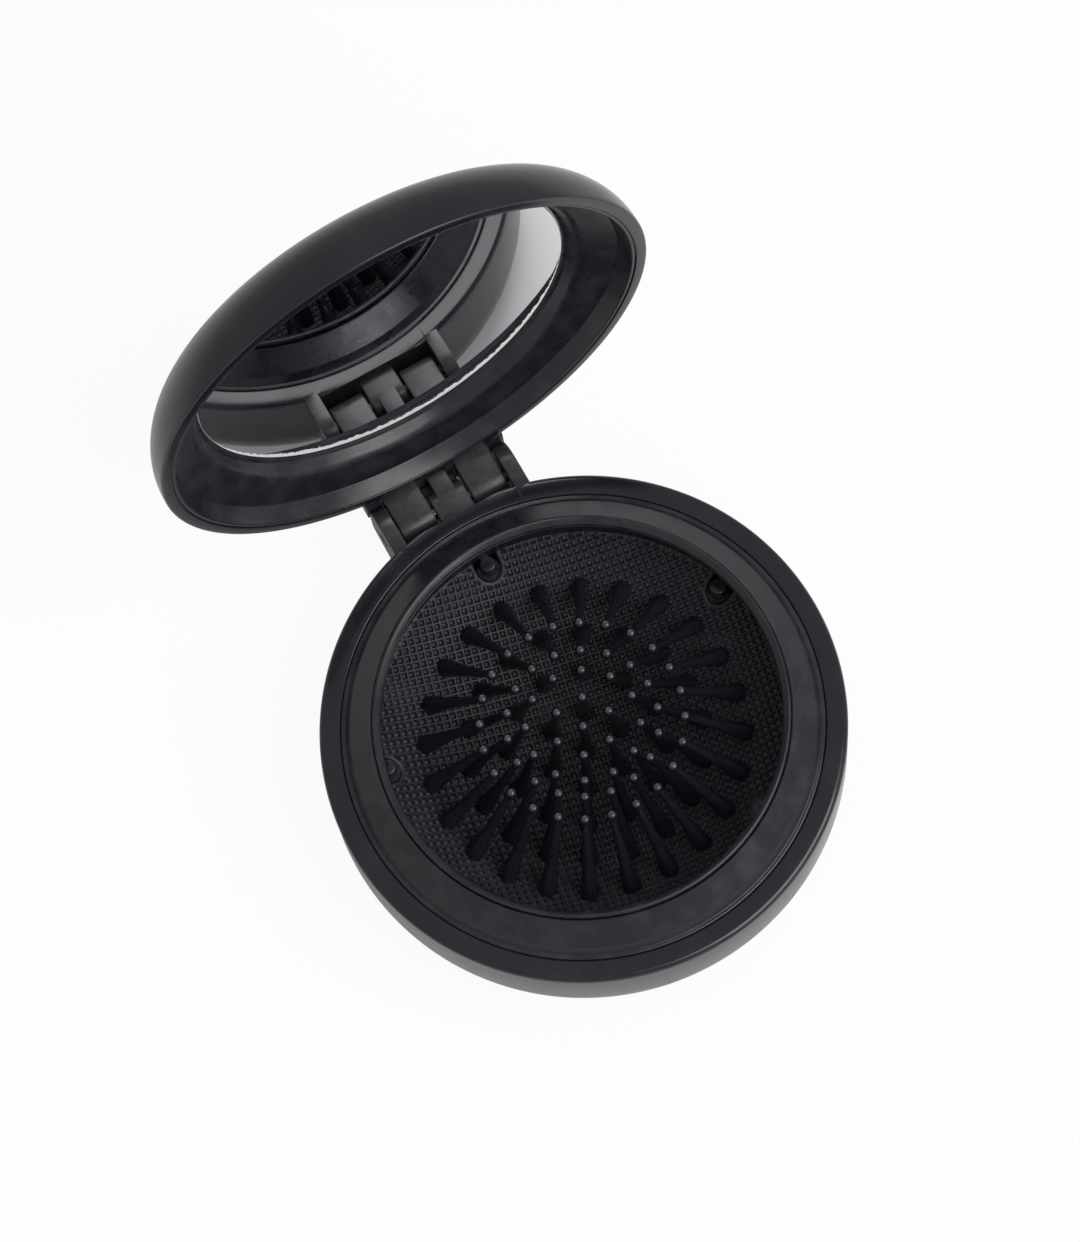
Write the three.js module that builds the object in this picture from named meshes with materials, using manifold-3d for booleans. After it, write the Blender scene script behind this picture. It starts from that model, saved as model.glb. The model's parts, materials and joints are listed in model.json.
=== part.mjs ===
// A compact pop-up hair brush: a round two-part case, open, with a mirror in its lid.
// The rubber pad lies in the base as a bowl, and a plate in the underside pushes it up.
// Sizes are in millimetres. The origin is the centre of the underside, +Z is up and the
// hinge is on the +Y side.
import * as THREE from 'three';
import * as BufferGeometryUtils from 'three/addons/utils/BufferGeometryUtils.js';
import Module from 'manifold-3d';

const wasm = await Module();
wasm.setup();

// The case
const caseRadius = 37.5;
const rimWidth = 3.1;
const rimEdge = 0.8;
const baseHeight = 17.7;
const baseWall = 2.2;
const baseCorner = 8.7;
const lidCorner = 10.2;
const lidCrown = 2.6;
const lidWall = 1.5;
const lidRimWidth = 1.8;
const lidRimEdge = 0.25;
const openAngle = 92;

// Gaps: between pieces that touch, round turning pieces, and round the sliding plate
const seam = 0.3;
const running = 0.3;
const plateGap = 0.5;

// The hinge
const hingeReach = 2.2;
const hingeDrop = 4.2;
const knuckleRadius = 2.8;
const knuckleWidth = 5.5;
const armWidth = 5.55;
const earWidth = 2.2;
const pinRadius = 0.9;
const tongueWidth = 2.9;
const tongueThickness = 1.4;
const lugReach = 1.5;
const lugOverhang = 0.25;
const hingeBlockHeight = 5.2;

// The collar round the brush
const collarWidth = 6.05;
const collarRise = 4.35;
const collarFlange = 1.6;
const collarSkirt = 2.6;
const shelfThickness = 0.75;
const ledgeWidth = 1.4;
const ledgeDepth = 1.3;
const stepWidth = 0.65;
const collarHollow = 0.2;

// The trim ring that lies on the collar's inner shelf and frames the pad
const trimWidth = 1.1;
const trimHeight = 1;
const trimRise = 0.3;
const trimSlope = 0.6;

// The rubber pad, a bowl that falls from the collar's bore to the plate
const boreStep = 0.1;
const bowlPower = 2.4;
const padThickness = 1.2;
const padTurn = 2.5;

// The pins, in rings, with how far each ring leans in, from the middle pin to the outer ring
const pinMargin = 6.55;
const ringLeans = [0, 7, 16, 31, 43];
const pinLength = 12.8;
const pinRootRadius = 1.35;
const pinNeckRadius = 0.5;
const pinBallRadius = 0.7;
const pinSeat = 0.4;

// The screws that clamp the pad
const screwCount = 5;
const bossRadius = 1.3;
const bossInset = 0.05;
const bossRise = 0.7;
const ribWidth = 1.2;
const notchRadius = 2.05;
const clampThickness = 1.5;
const clampInset = 0.55;
const screwRadius = 0.6;
const screwHeadRadius = 1.5;
const screwHeadHeight = 1;
const screwBite = 1.6;

// The plate in the underside
const plateRadius = 12.5;
const plateThickness = 2.3;
const thumbRingInset = 4.5;
const thumbRingWidth = 1.4;
const thumbRingDepth = 0.5;
const guideRise = 1.2;
const guideWall = 1.7;

// The mirror and its frame
const linerWidth = 6.8;
const mirrorThickness = 1.3;
const mirrorDepth = 6.7;
const mirrorTuck = 5.8;
const mirrorArris = 0.3;
const mirrorGap = 0.4;
const linerStep = 0.5;
const linerWall = 0.6;
const tapeInset = 6;
const tapeThickness = 0.45;
const backWall = 0.85;

// How finely round shapes are cut
const caseFacets = 36;
const pinFacets = 6;
const smallFacets = 10;

// Places that follow from the sizes above
const rimInner = caseRadius - rimWidth;
const lidRimInner = caseRadius - lidRimWidth;
const footRadius = caseRadius - baseCorner;
const hingeY = caseRadius + hingeReach;
const hingeZ = baseHeight - hingeDrop;
const hingeRise = hingeDrop + seam;
const knuckleHalf = knuckleWidth / 2;
const armInner = knuckleHalf + running;
const armOuter = armInner + armWidth;
const slotHalf = armOuter + running;
const earOuter = slotHalf + earWidth;
const slotFront = hingeY - knuckleRadius - 1.3 * running;
const heel = hingeY - slotFront - running;
const slotBottom = hingeZ - Math.hypot(heel, knuckleRadius) - 2 * running;
const earRadius = hingeRise - 1.3 * running;
const holeRadius = pinRadius + 0.8 * running;
const trimRadius = rimInner - collarWidth;
const boreRadius = trimRadius + trimWidth + boreStep;
const skirtOuter = rimInner - ledgeWidth - seam;
const flangeOuter = skirtOuter - seam;
const padTop = baseHeight - collarSkirt - seam;
const padBottom = plateThickness + seam + padThickness;
const bowlDepth = padTop - padBottom;
const clampTop = padTop - padThickness - seam;
const clampInner = boreRadius + clampInset;
const bossCircle = trimRadius + bossInset;
const shelfTop = baseHeight + collarRise + trimRise - trimHeight - seam;
const collarUnderside = shelfTop - shelfThickness;
const mirrorRadius = lidRimInner - linerWidth;
const tapeRadius = mirrorRadius - tapeInset;
const lidSide = mirrorDepth - mirrorTuck;
const lidEdge = Math.min(lidRimEdge, 0.9 * lidSide);
const pinField = boreRadius - pinMargin;
const ringSteps = ringLeans.length - 1;
const pinRings = ringLeans.map((lean, i) => ({
  lean,
  count: i === 0 ? 1 : 6 * i,
  radius: (pinField * i) / ringSteps,
}));

const toRadians = THREE.MathUtils.degToRad;

// Points on an arc, from one angle to another in degrees, both ends included.
function arc(x, y, radius, from, to, steps) {
  return Array.from({ length: steps + 1 }, (_, i) => {
    const angle = toRadians(from + ((to - from) * i) / steps);
    return [x + radius * Math.cos(angle), y + radius * Math.sin(angle)];
  });
}

// A closed three.js geometry as a solid that can be cut and joined.
function solid(geometry) {
  const bare = geometry.clone();
  bare.deleteAttribute('normal');
  bare.deleteAttribute('uv');
  const merged = BufferGeometryUtils.mergeVertices(bare, 1e-4);
  const corners = merged.index.array;
  const kept = [];
  for (let i = 0; i < corners.length; i += 3) {
    const [a, b, c] = [corners[i], corners[i + 1], corners[i + 2]];
    if (a !== b && b !== c && c !== a) kept.push(a, b, c);
  }
  return new wasm.Manifold(
    new wasm.Mesh({
      numProp: 3,
      vertProperties: new Float32Array(merged.attributes.position.array),
      triVerts: new Uint32Array(kept),
    }),
  );
}

// A solid back as a three.js geometry.
function geometryOf(manifold) {
  const mesh = manifold.getMesh();
  const geometry = new THREE.BufferGeometry();
  geometry.setAttribute('position', new THREE.BufferAttribute(mesh.vertProperties, 3));
  geometry.setIndex(new THREE.BufferAttribute(mesh.triVerts, 1));
  geometry.computeVertexNormals();
  return geometry;
}

// An outline of radius and height turned once round the Z axis. The outline runs anticlockwise
// and either closes on itself or starts and ends on the axis.
function turned(outline, facets = caseFacets) {
  const onAxis = outline[0][0] === 0;
  const points = (onAxis ? outline : [...outline, outline[0]]).map(([r, z]) => new THREE.Vector2(r, z));
  return new THREE.LatheGeometry(points, facets).rotateX(Math.PI / 2);
}

// A side outline, with the shape's x as Y and its y as Z, extruded along X.
function sidePlate(shape, low, high) {
  const geometry = new THREE.ExtrudeGeometry(shape, { depth: high - low, bevelEnabled: false, curveSegments: 6 });
  const turn = new THREE.Matrix4().makeBasis(
    new THREE.Vector3(0, 1, 0),
    new THREE.Vector3(0, 0, 1),
    new THREE.Vector3(1, 0, 0),
  );
  return solid(geometry.applyMatrix4(turn).translate(low, 0, 0));
}

function block(x0, x1, y0, y1, z0, z1) {
  const geometry = new THREE.BoxGeometry(x1 - x0, y1 - y0, z1 - z0);
  return solid(geometry.translate((x0 + x1) / 2, (y0 + y1) / 2, (z0 + z1) / 2));
}

// A round bar along X, centred on the hinge line at the given Y and Z.
function hingeBar(radius, halfLength, y, z) {
  const bar = new THREE.CylinderGeometry(radius, radius, 2 * halfLength, 2 * smallFacets);
  return bar.rotateZ(Math.PI / 2).translate(0, y, z);
}

// An upright round post.
function post(radius, x, y, low, high, facets = smallFacets) {
  const bar = new THREE.CylinderGeometry(radius, radius, high - low, facets);
  return solid(bar.rotateX(Math.PI / 2).translate(x, y, (low + high) / 2));
}

function part(name, geometry, material) {
  const mesh = new THREE.Mesh(geometry, material);
  mesh.name = name;
  return mesh;
}

const glossBlack = new THREE.MeshStandardMaterial({ color: 0x0b0b0d, roughness: 0.16, metalness: 0 });
const satinBlack = new THREE.MeshStandardMaterial({ color: 0x111114, roughness: 0.32, metalness: 0 });
const padRubber = new THREE.MeshStandardMaterial({ color: 0x0d0d0f, roughness: 0.6, metalness: 0 });
const pinNylon = new THREE.MeshStandardMaterial({ color: 0x0e0e10, roughness: 0.35, metalness: 0 });
const steel = new THREE.MeshStandardMaterial({ color: 0x9a9da1, roughness: 0.3, metalness: 1 });
const silver = new THREE.MeshStandardMaterial({ color: 0xe6ebee, roughness: 0.02, metalness: 1 });
const tapeWhite = new THREE.MeshStandardMaterial({ color: 0xd8d8d4, roughness: 0.8, metalness: 0 });

// The bowl's surface: its height and its slope at a radius.
function bowlHeight(r) {
  return padBottom + bowlDepth * (r / boreRadius) ** bowlPower;
}

function bowlSlope(r) {
  return ((bowlPower * bowlDepth) / boreRadius) * (r / boreRadius) ** (bowlPower - 1);
}

// The places of the clamp screws, evenly round the pad with the first towards the hinge.
function screwPlaces() {
  return Array.from({ length: screwCount }, (_, i) => {
    const angle = toRadians(90 + (360 * i) / screwCount);
    return [bossCircle * Math.cos(angle), bossCircle * Math.sin(angle)];
  });
}

// The base: a cup with a round hole in its floor, the two hinge ears and the middle knuckle.
function baseShell() {
  const hole = plateRadius + plateGap;
  const seatZ = baseHeight - collarFlange - seam;
  const ledgeInner = rimInner - ledgeWidth;
  const inside = caseRadius - baseWall;
  const cup = solid(
    turned([
      [hole + rimEdge / 2, 0],
      ...arc(footRadius, baseCorner, baseCorner, -90, 0, 6),
      ...arc(caseRadius - rimEdge, baseHeight - rimEdge, rimEdge, 0, 90, 2),
      [rimInner, baseHeight],
      [rimInner, seatZ],
      [ledgeInner, seatZ],
      [ledgeInner, seatZ - ledgeDepth],
      [inside, seatZ - ledgeDepth - (inside - ledgeInner)],
      ...arc(footRadius, baseCorner, baseCorner - baseWall, 0, -90, 4),
      [hole + guideWall, baseWall],
      [hole + guideWall, baseWall + guideRise],
      [hole, baseWall + guideRise],
      [hole, rimEdge / 2],
    ]),
  );
  const slot = block(-slotHalf, slotHalf, slotFront, hingeY + 2 * earRadius, slotBottom, baseHeight + 1);
  const rootY = slotFront - baseWall / 2;

  const ear = new THREE.Shape();
  ear.moveTo(rootY, baseHeight);
  ear.lineTo(hingeY, hingeZ + earRadius);
  ear.absarc(hingeY, hingeZ, earRadius, Math.PI / 2, -Math.PI / 2, true);
  ear.lineTo(rootY, slotBottom - earRadius / 2);

  const knuckle = new THREE.Shape();
  knuckle.moveTo(rootY, hingeZ + knuckleRadius);
  knuckle.lineTo(hingeY, hingeZ + knuckleRadius);
  knuckle.absarc(hingeY, hingeZ, knuckleRadius, Math.PI / 2, -Math.PI / 2, true);
  knuckle.lineTo(rootY, hingeZ - knuckleRadius);

  const tongueTop = hingeZ + knuckleRadius;
  const tongue = block(
    -tongueWidth / 2,
    tongueWidth / 2,
    hingeY,
    hingeY + hingeRise - running,
    tongueTop - tongueThickness,
    tongueTop,
  );
  const web = block(-knuckleHalf, knuckleHalf, hingeY, hingeY + earRadius, hingeZ - knuckleRadius, hingeZ);
  const bore = solid(hingeBar(holeRadius, 2 * earOuter, hingeY, hingeZ));
  return geometryOf(
    cup
      .subtract(slot)
      .add(sidePlate(ear, slotHalf, earOuter))
      .add(sidePlate(ear, -earOuter, -slotHalf))
      .add(sidePlate(knuckle, -knuckleHalf, knuckleHalf))
      .add(tongue)
      .add(web)
      .subtract(bore),
  );
}

// A screw boss on the Y axis, with the rib that joins it to the collar's bore.
function screwBoss(low, high) {
  const half = ribWidth / 2;
  return post(bossRadius, 0, bossCircle, low, high).add(
    block(-half, half, bossCircle, boreRadius + half, low, high),
  );
}

// The collar: a flange in the rim, a flank, a shelf at its top, a bore and five screw bosses.
function baseCollar() {
  const flankFoot = rimInner - seam;
  const shelfOuter = trimRadius + trimWidth + seam;
  const flank = new THREE.Vector2(shelfOuter - flankFoot + stepWidth, collarRise);
  const flankPoint = (along, sunk) => [
    flankFoot - stepWidth + along * flank.x - sunk,
    baseHeight + along * flank.y - sunk,
  ];
  const foot = baseHeight - collarSkirt;
  const ring = solid(
    turned([
      [boreRadius, foot],
      [skirtOuter, foot],
      [skirtOuter, baseHeight - collarFlange],
      [flankFoot, baseHeight - collarFlange],
      [flankFoot, baseHeight],
      [flankFoot - stepWidth, baseHeight],
      flankPoint(0.08, 0),
      flankPoint(0.3, collarHollow),
      flankPoint(0.55, collarHollow),
      flankPoint(0.8, collarHollow / 2),
      flankPoint(1, 0),
      [shelfOuter, shelfTop],
      [trimRadius, shelfTop],
      [trimRadius, collarUnderside],
      [boreRadius, collarUnderside],
    ]),
  );
  const bossFoot = clampTop + seam;
  return geometryOf(
    screwPlaces().reduce((body, [x, y], i) => {
      const boss = screwBoss(bossFoot, foot + bossRise).rotate([0, 0, (360 * i) / screwCount]);
      const bore = post(screwRadius + running, x, y, bossFoot - 1, bossFoot + screwBite + running);
      return body.add(boss).subtract(bore);
    }, ring),
  );
}

// The trim ring, which falls towards the pad.
function trimRing() {
  const outer = trimRadius + trimWidth;
  const top = baseHeight + collarRise + trimRise;
  const low = top - trimHeight;
  return turned([
    [trimRadius, low],
    [outer, low],
    [outer, top - trimSlope / 3],
    [outer - trimWidth / 8, top],
    [outer - trimWidth / 3, top],
    [trimRadius + trimWidth / 6, top - trimSlope],
    [trimRadius, top - 1.25 * trimSlope],
  ]);
}

// One pin, standing on its root at the origin: a thick tapering foot, a stem and a ball.
function pinOutline(below = 0) {
  const ballCentre = pinLength - pinBallRadius;
  return [
    [0, -below],
    [pinRootRadius, -below],
    [0.6 * pinRootRadius, 0.3 * pinLength],
    [pinNeckRadius, ballCentre - pinBallRadius],
    [pinBallRadius, ballCentre],
    [0.7 * pinBallRadius, ballCentre + 0.7 * pinBallRadius],
    [0, pinLength],
  ];
}

// Where each pin of a ring stands and which way it points.
function pinPlaces(ring) {
  return Array.from({ length: ring.count }, (_, i) => {
    const angle = toRadians(padTurn + (360 * i) / ring.count);
    const lean = toRadians(ring.lean);
    const out = new THREE.Vector3(Math.cos(angle), Math.sin(angle), 0);
    const direction = out.clone().multiplyScalar(-Math.sin(lean)).setZ(Math.cos(lean));
    const root = out.clone().multiplyScalar(ring.radius).setZ(bowlHeight(ring.radius));
    return { root, direction };
  });
}

// The pad: the bowl, its flange, five notches, and the pins over the plate.
function brushPad() {
  const steps = 9;
  const radii = Array.from({ length: steps + 1 }, (_, i) => boreRadius * (i / steps) ** 0.7);
  const top = radii.map((r) => [r, bowlHeight(r)]);
  const under = radii.map((r) => {
    const tilt = Math.atan(bowlSlope(r));
    return [r + padThickness * Math.sin(tilt), bowlHeight(r) - padThickness * Math.cos(tilt)];
  });
  const flangeLow = padTop - padThickness;
  const outline = [
    ...under.filter(([, z]) => z < flangeLow - seam),
    [boreRadius + clampInset, flangeLow],
    [flangeOuter, flangeLow],
    [flangeOuter, padTop],
    ...top.reverse(),
  ];
  let body = solid(turned(outline));
  for (const [x, y] of screwPlaces()) {
    body = body.subtract(post(notchRadius, x, y, flangeLow - 2 * notchRadius, padTop + 1));
  }
  const pin = solid(turned(pinOutline(padThickness / 2), pinFacets));
  for (const ring of pinRings.slice(0, 3)) {
    for (const { root, direction } of pinPlaces(ring)) {
      const turn = new THREE.Quaternion().setFromUnitVectors(new THREE.Vector3(0, 0, 1), direction);
      const place = new THREE.Matrix4().compose(root, turn, new THREE.Vector3(1, 1, 1));
      body = body.add(pin.transform(place.elements));
    }
  }
  return geometryOf(body);
}

// The ring under the pad's flange, with a lug for each screw.
function clampRing() {
  const low = clampTop - clampThickness;
  const ring = solid(
    turned([
      [clampInner, low],
      [flangeOuter, low],
      [flangeOuter, clampTop],
      [clampInner, clampTop],
    ]),
  );
  const out = clampInner / bossCircle;
  return geometryOf(
    screwPlaces().reduce((body, [x, y]) => {
      const lug = post(notchRadius - seam, x, y, low, clampTop);
      const neck = post(bossRadius, out * x, out * y, low, clampTop);
      const bore = post(screwRadius + running, x, y, low - 1, clampTop + 1);
      return body.add(lug).add(neck).subtract(bore);
    }, ring),
  );
}

// A pan-head screw, head down, with its head under the clamp ring.
function clampScrew() {
  const headTop = clampTop - clampThickness - seam;
  return turned(
    [
      [0, headTop - screwHeadHeight],
      [0.7 * screwHeadRadius, headTop - screwHeadHeight],
      [screwHeadRadius, headTop - 0.5 * screwHeadHeight],
      [screwHeadRadius, headTop],
      [screwRadius, headTop],
      [screwRadius, clampTop + seam + screwBite],
      [0, clampTop + seam + screwBite],
    ],
    smallFacets,
  );
}

// The push plate: a disc, flush with the foot, with a shallow ring to feel with the thumb.
function pushPlate() {
  const edge = rimEdge / 2;
  const thumbRingRadius = plateRadius - thumbRingInset;
  return turned([
    [0, 0],
    [thumbRingRadius, 0],
    [thumbRingRadius + thumbRingDepth / 2, thumbRingDepth],
    [thumbRingRadius + thumbRingWidth - thumbRingDepth / 2, thumbRingDepth],
    [thumbRingRadius + thumbRingWidth, 0],
    [plateRadius - edge, 0],
    [plateRadius, edge],
    [plateRadius, plateThickness - edge],
    [plateRadius - edge, plateThickness],
    [0, plateThickness],
  ]);
}

// The lid's pieces are drawn closed, with z = 0 at the lid's rim face.
const lidFlat = caseRadius - lidCorner;
const lidInside = lidCorner - lidWall;

// Height of the lid shell's inner face at a radius.
function lidCeiling(r) {
  if (r > lidFlat) return lidSide + Math.sqrt(lidInside ** 2 - (r - lidFlat) ** 2);
  return lidSide + lidInside + lidCrown * (1 - (r / lidFlat) ** 2);
}

function lidShell() {
  const crown = [0.75, 0.4];
  const wallStart = Math.asin(lidRimWidth / lidCorner) + 0.28;
  const startAngle = THREE.MathUtils.radToDeg(wallStart);
  const dome = solid(
    turned([
      [0, lidSide + lidInside + lidCrown],
      ...crown.toReversed().map((f) => [f * lidFlat, lidCeiling(f * lidFlat)]),
      ...arc(lidFlat, lidSide, lidInside, 90, startAngle, 4).filter(([r]) => r < lidRimInner),
      [lidRimInner, lidCeiling(lidRimInner)],
      [lidRimInner, 0],
      ...arc(caseRadius - lidEdge, lidEdge, lidEdge, -90, 0, 2),
      ...arc(lidFlat, lidSide, lidCorner, 0, 90, 6),
      ...crown.map((f) => [f * lidFlat, lidCeiling(f * lidFlat) + lidWall]),
      [0, lidSide + lidCorner + lidCrown],
    ]),
  );

  const rootY = lidRimInner + 0.2 * lidRimWidth;
  const blockShape = (end) => {
    const shape = new THREE.Shape();
    shape.moveTo(rootY, 0);
    shape.lineTo(end, 0);
    shape.lineTo(end, 0.4 * hingeBlockHeight);
    shape.quadraticCurveTo(end, 0.6 * hingeBlockHeight, end - 0.2 * hingeBlockHeight, 0.68 * hingeBlockHeight);
    shape.lineTo(rootY, hingeBlockHeight);
    return shape;
  };
  const blockEnd = hingeY + heel;
  const blockOuter = earOuter + lugOverhang;
  const sweep = solid(
    hingeBar(Math.hypot(hingeRise - running, knuckleRadius) + running, tongueWidth / 2 + running, hingeY, -hingeRise),
  );
  const hingeBlock = sidePlate(blockShape(caseRadius + lugReach), -blockOuter, blockOuter)
    .add(sidePlate(blockShape(blockEnd), -armOuter, armOuter))
    .subtract(sweep);

  const arm = new THREE.Shape();
  arm.moveTo(hingeY - knuckleRadius, 0.5);
  arm.lineTo(hingeY - knuckleRadius, -hingeRise);
  arm.absarc(hingeY, -hingeRise, knuckleRadius, Math.PI, 1.5 * Math.PI, false);
  arm.lineTo(blockEnd, -hingeRise - knuckleRadius);
  arm.lineTo(blockEnd, 0.5);

  const bore = solid(hingeBar(holeRadius, 2 * earOuter, hingeY, -hingeRise));
  return geometryOf(
    dome
      .add(hingeBlock)
      .add(sidePlate(arm, armInner, armOuter))
      .add(sidePlate(arm, -armOuter, -armInner))
      .subtract(bore),
  );
}

// The frame inside the lid, which carries the mirror.
function lidLiner() {
  const outer = lidRimInner - seam;
  const seat = mirrorDepth + mirrorThickness + seam;
  const pocket = seat + tapeThickness + seam;
  const mirrorWell = mirrorRadius + mirrorGap;
  const back = lidInside - seam;
  const sideTop = lidSide + Math.sqrt(back ** 2 - (outer - lidFlat) ** 2);
  const sideAngle = THREE.MathUtils.radToDeg(Math.atan2(sideTop - lidSide, outer - lidFlat));
  const wellAngle = THREE.MathUtils.radToDeg(Math.acos((mirrorWell - lidFlat) / back));
  return turned([
    [0, pocket],
    [tapeRadius + seam, pocket],
    [tapeRadius + seam, seat],
    [mirrorWell, seat],
    [mirrorWell, mirrorDepth - 0.2 * mirrorGap],
    [mirrorWell + mirrorGap, mirrorDepth - mirrorGap],
    [mirrorWell + 1.3, 0.66 * mirrorDepth],
    [outer - 1.3, 0.36 * mirrorDepth],
    [outer - 0.8, 0.2 * mirrorDepth],
    [outer - linerWall, linerStep],
    [outer, linerStep],
    ...arc(lidFlat, lidSide, back, sideAngle, wellAngle, 3),
    [tapeRadius + 2 * backWall, seat + backWall],
    [tapeRadius + backWall, pocket + backWall],
    [0, pocket + backWall],
  ]);
}

function mirrorGlass() {
  const low = mirrorDepth;
  const high = mirrorDepth + mirrorThickness;
  return turned([
    [0, low],
    [mirrorRadius - mirrorArris, low],
    [mirrorRadius, low + mirrorArris],
    [mirrorRadius, high],
    [0, high],
  ]);
}

function mirrorTape() {
  const low = mirrorDepth + mirrorThickness + seam;
  return turned([
    [0, low],
    [tapeRadius, low],
    [tapeRadius, low + tapeThickness],
    [0, low + tapeThickness],
  ]);
}

// The brush assembled: the base and its pad, the pins, and the lid turned back on its hinge.
const brush = new THREE.Group();
brush.add(
  part('base_shell', baseShell(), glossBlack),
  part('base_collar', baseCollar(), satinBlack),
  part('trim_ring', trimRing(), satinBlack),
  part('brush_pad', brushPad(), padRubber),
  part('pad_clamp_ring', clampRing(), satinBlack),
  part('push_plate', pushPlate(), glossBlack),
  part('hinge_pin', hingeBar(pinRadius, earOuter - 0.1, hingeY, hingeZ), steel),
);

screwPlaces().forEach(([x, y], i) => {
  const screw = part(`clamp_screw_${i + 1}`, clampScrew(), steel);
  screw.position.set(x, y, 0);
  brush.add(screw);
});

const loosePins = { middle_pin: pinRings[3], outer_pin: pinRings[4] };
for (const [name, ring] of Object.entries(loosePins)) {
  pinPlaces(ring).forEach(({ root, direction }, i) => {
    const pin = part(`${name}_${String(i + 1).padStart(2, '0')}`, turned(pinOutline(), pinFacets), pinNylon);
    pin.position.copy(root).addScaledVector(direction, pinSeat);
    pin.quaternion.setFromUnitVectors(new THREE.Vector3(0, 0, 1), direction);
    brush.add(pin);
  });
}

const lidPieces = new THREE.Group();
lidPieces.position.set(0, -hingeY, hingeRise);
lidPieces.add(
  part('lid_shell', lidShell(), glossBlack),
  part('lid_liner', lidLiner(), satinBlack),
  part('mirror', mirrorGlass(), silver),
  part('mirror_tape', mirrorTape(), tapeWhite),
);
const lid = new THREE.Group();
lid.position.set(0, hingeY, hingeZ);
lid.rotation.x = -toRadians(openAngle);
lid.add(lidPieces);
brush.add(lid);

export default brush;
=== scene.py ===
# %% [markdown]
# # A compact pop-up hair brush with a mirror
#
# The object is a round black case, 75 mm across, that opens like a shell. The lid holds a
# mirror. The base holds a soft rubber pad full of ball-tipped pins, which lies as a bowl until
# a plate underneath pushes it up.
#
# The solid model of the case comes first, as a frame that nothing here moves. It gives the
# places of the pieces and the hinge line. What this file adds is the surface: fine round edges,
# the waffle of the rubber, the pins, and how each material takes the light.
#
# Blender works in metres. The sizes below are written in millimetres, because that is how a
# maker would say them, and each mesh is scaled once, when it is made.

# %% Load the frame
import json
import math

import bmesh
import bpy
import numpy as np
from mathutils import Matrix, Vector


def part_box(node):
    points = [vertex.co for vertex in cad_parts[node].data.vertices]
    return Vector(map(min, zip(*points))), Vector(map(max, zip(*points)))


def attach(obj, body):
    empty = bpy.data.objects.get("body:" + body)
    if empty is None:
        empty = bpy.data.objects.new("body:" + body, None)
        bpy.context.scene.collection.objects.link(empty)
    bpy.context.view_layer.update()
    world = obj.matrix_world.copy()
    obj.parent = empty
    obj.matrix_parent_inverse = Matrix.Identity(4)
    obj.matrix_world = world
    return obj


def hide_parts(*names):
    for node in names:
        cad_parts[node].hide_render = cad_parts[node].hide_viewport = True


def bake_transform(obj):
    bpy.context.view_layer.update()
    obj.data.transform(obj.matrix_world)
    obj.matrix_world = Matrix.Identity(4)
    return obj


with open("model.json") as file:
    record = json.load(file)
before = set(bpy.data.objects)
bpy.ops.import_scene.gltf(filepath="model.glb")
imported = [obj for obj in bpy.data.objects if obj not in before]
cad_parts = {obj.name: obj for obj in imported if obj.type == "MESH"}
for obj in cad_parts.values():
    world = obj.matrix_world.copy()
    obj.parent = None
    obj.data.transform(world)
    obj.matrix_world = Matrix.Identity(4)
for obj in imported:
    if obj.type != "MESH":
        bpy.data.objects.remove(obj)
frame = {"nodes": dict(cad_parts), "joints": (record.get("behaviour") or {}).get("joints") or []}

MM = 0.001
SHRINK = Matrix.Scale(MM, 4)
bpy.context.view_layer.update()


def millimetres(node):
    """The lowest and highest corner of one of the frame's nodes, in millimetres."""
    low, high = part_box(node)
    return low / MM, high / MM


joints = {joint["name"]: joint for joint in frame["joints"]}
hinge = Vector(joints["lid_hinge"]["pos_m"]) / MM
open_angle = math.radians(joints["lid_hinge"]["range_deg"][1])
case_radius = millimetres("base_shell")[1].x
base_height = millimetres("base_shell")[1].z
plate_radius = millimetres("push_plate")[1].x
plate_top = millimetres("push_plate")[1].z
print("hinge line at", [round(x, 2) for x in hinge], "lid open by", round(math.degrees(open_angle)))

# %% [markdown]
# ## Profiles with round corners
#
# Nearly every piece of this case was turned or moulded round one axis, so a flat outline swung
# round that axis makes it. A Screw modifier could do that, but it needs the outline as an object
# of its own. Here a short function does the same in one go, and the outline is a list of
# corners, each with the radius that a toolmaker would give it. Even a corner that looks sharp
# on moulded plastic has a tenth or two of a millimetre, and that is what catches the light.

# %% Round the corners of an outline
ARC_STEPS = 3
ARC_STEPS_PER_MM = 2


def rounded(corners):
    """A closed outline from corners (x, y, radius), with an arc in place of each corner."""
    line = []
    for i, (x, y, radius) in enumerate(corners):
        corner = Vector((x, y))
        back = (Vector(corners[i - 1][:2]) - corner).normalized()
        ahead = (Vector(corners[(i + 1) % len(corners)][:2]) - corner).normalized()
        if radius == 0:
            line.append(corner)
            continue
        half = back.angle(ahead) / 2
        centre = corner + (back + ahead).normalized() * radius / math.sin(half)
        first = corner + back * radius / math.tan(half) - centre
        turn = first.angle_signed(corner + ahead * radius / math.tan(half) - centre)
        steps = ARC_STEPS + round(ARC_STEPS_PER_MM * radius)
        for step in range(steps + 1):
            line.append(centre + Matrix.Rotation(-turn * step / steps, 2) @ first)
    return [tuple(point) for point in line]


# %% Make an object from points and faces
CREASE = math.radians(32)
WELD = 0.001
SLIVER = 0.0001


def placed(name, data):
    """An object that shows a mesh, a lamp or a camera, put into the scene."""
    made = bpy.data.objects.new(name, data)
    bpy.context.scene.collection.objects.link(made)
    return made


def new_object(name, points, faces, place=Matrix()):
    """A smooth mesh from points in millimetres, creased where it bends sharply."""
    mesh = bpy.data.meshes.new(name)
    mesh.from_pydata([place @ Vector(point) * MM for point in points], [], faces)
    piece = placed(name, mesh)
    tidy(piece)
    return piece


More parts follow.
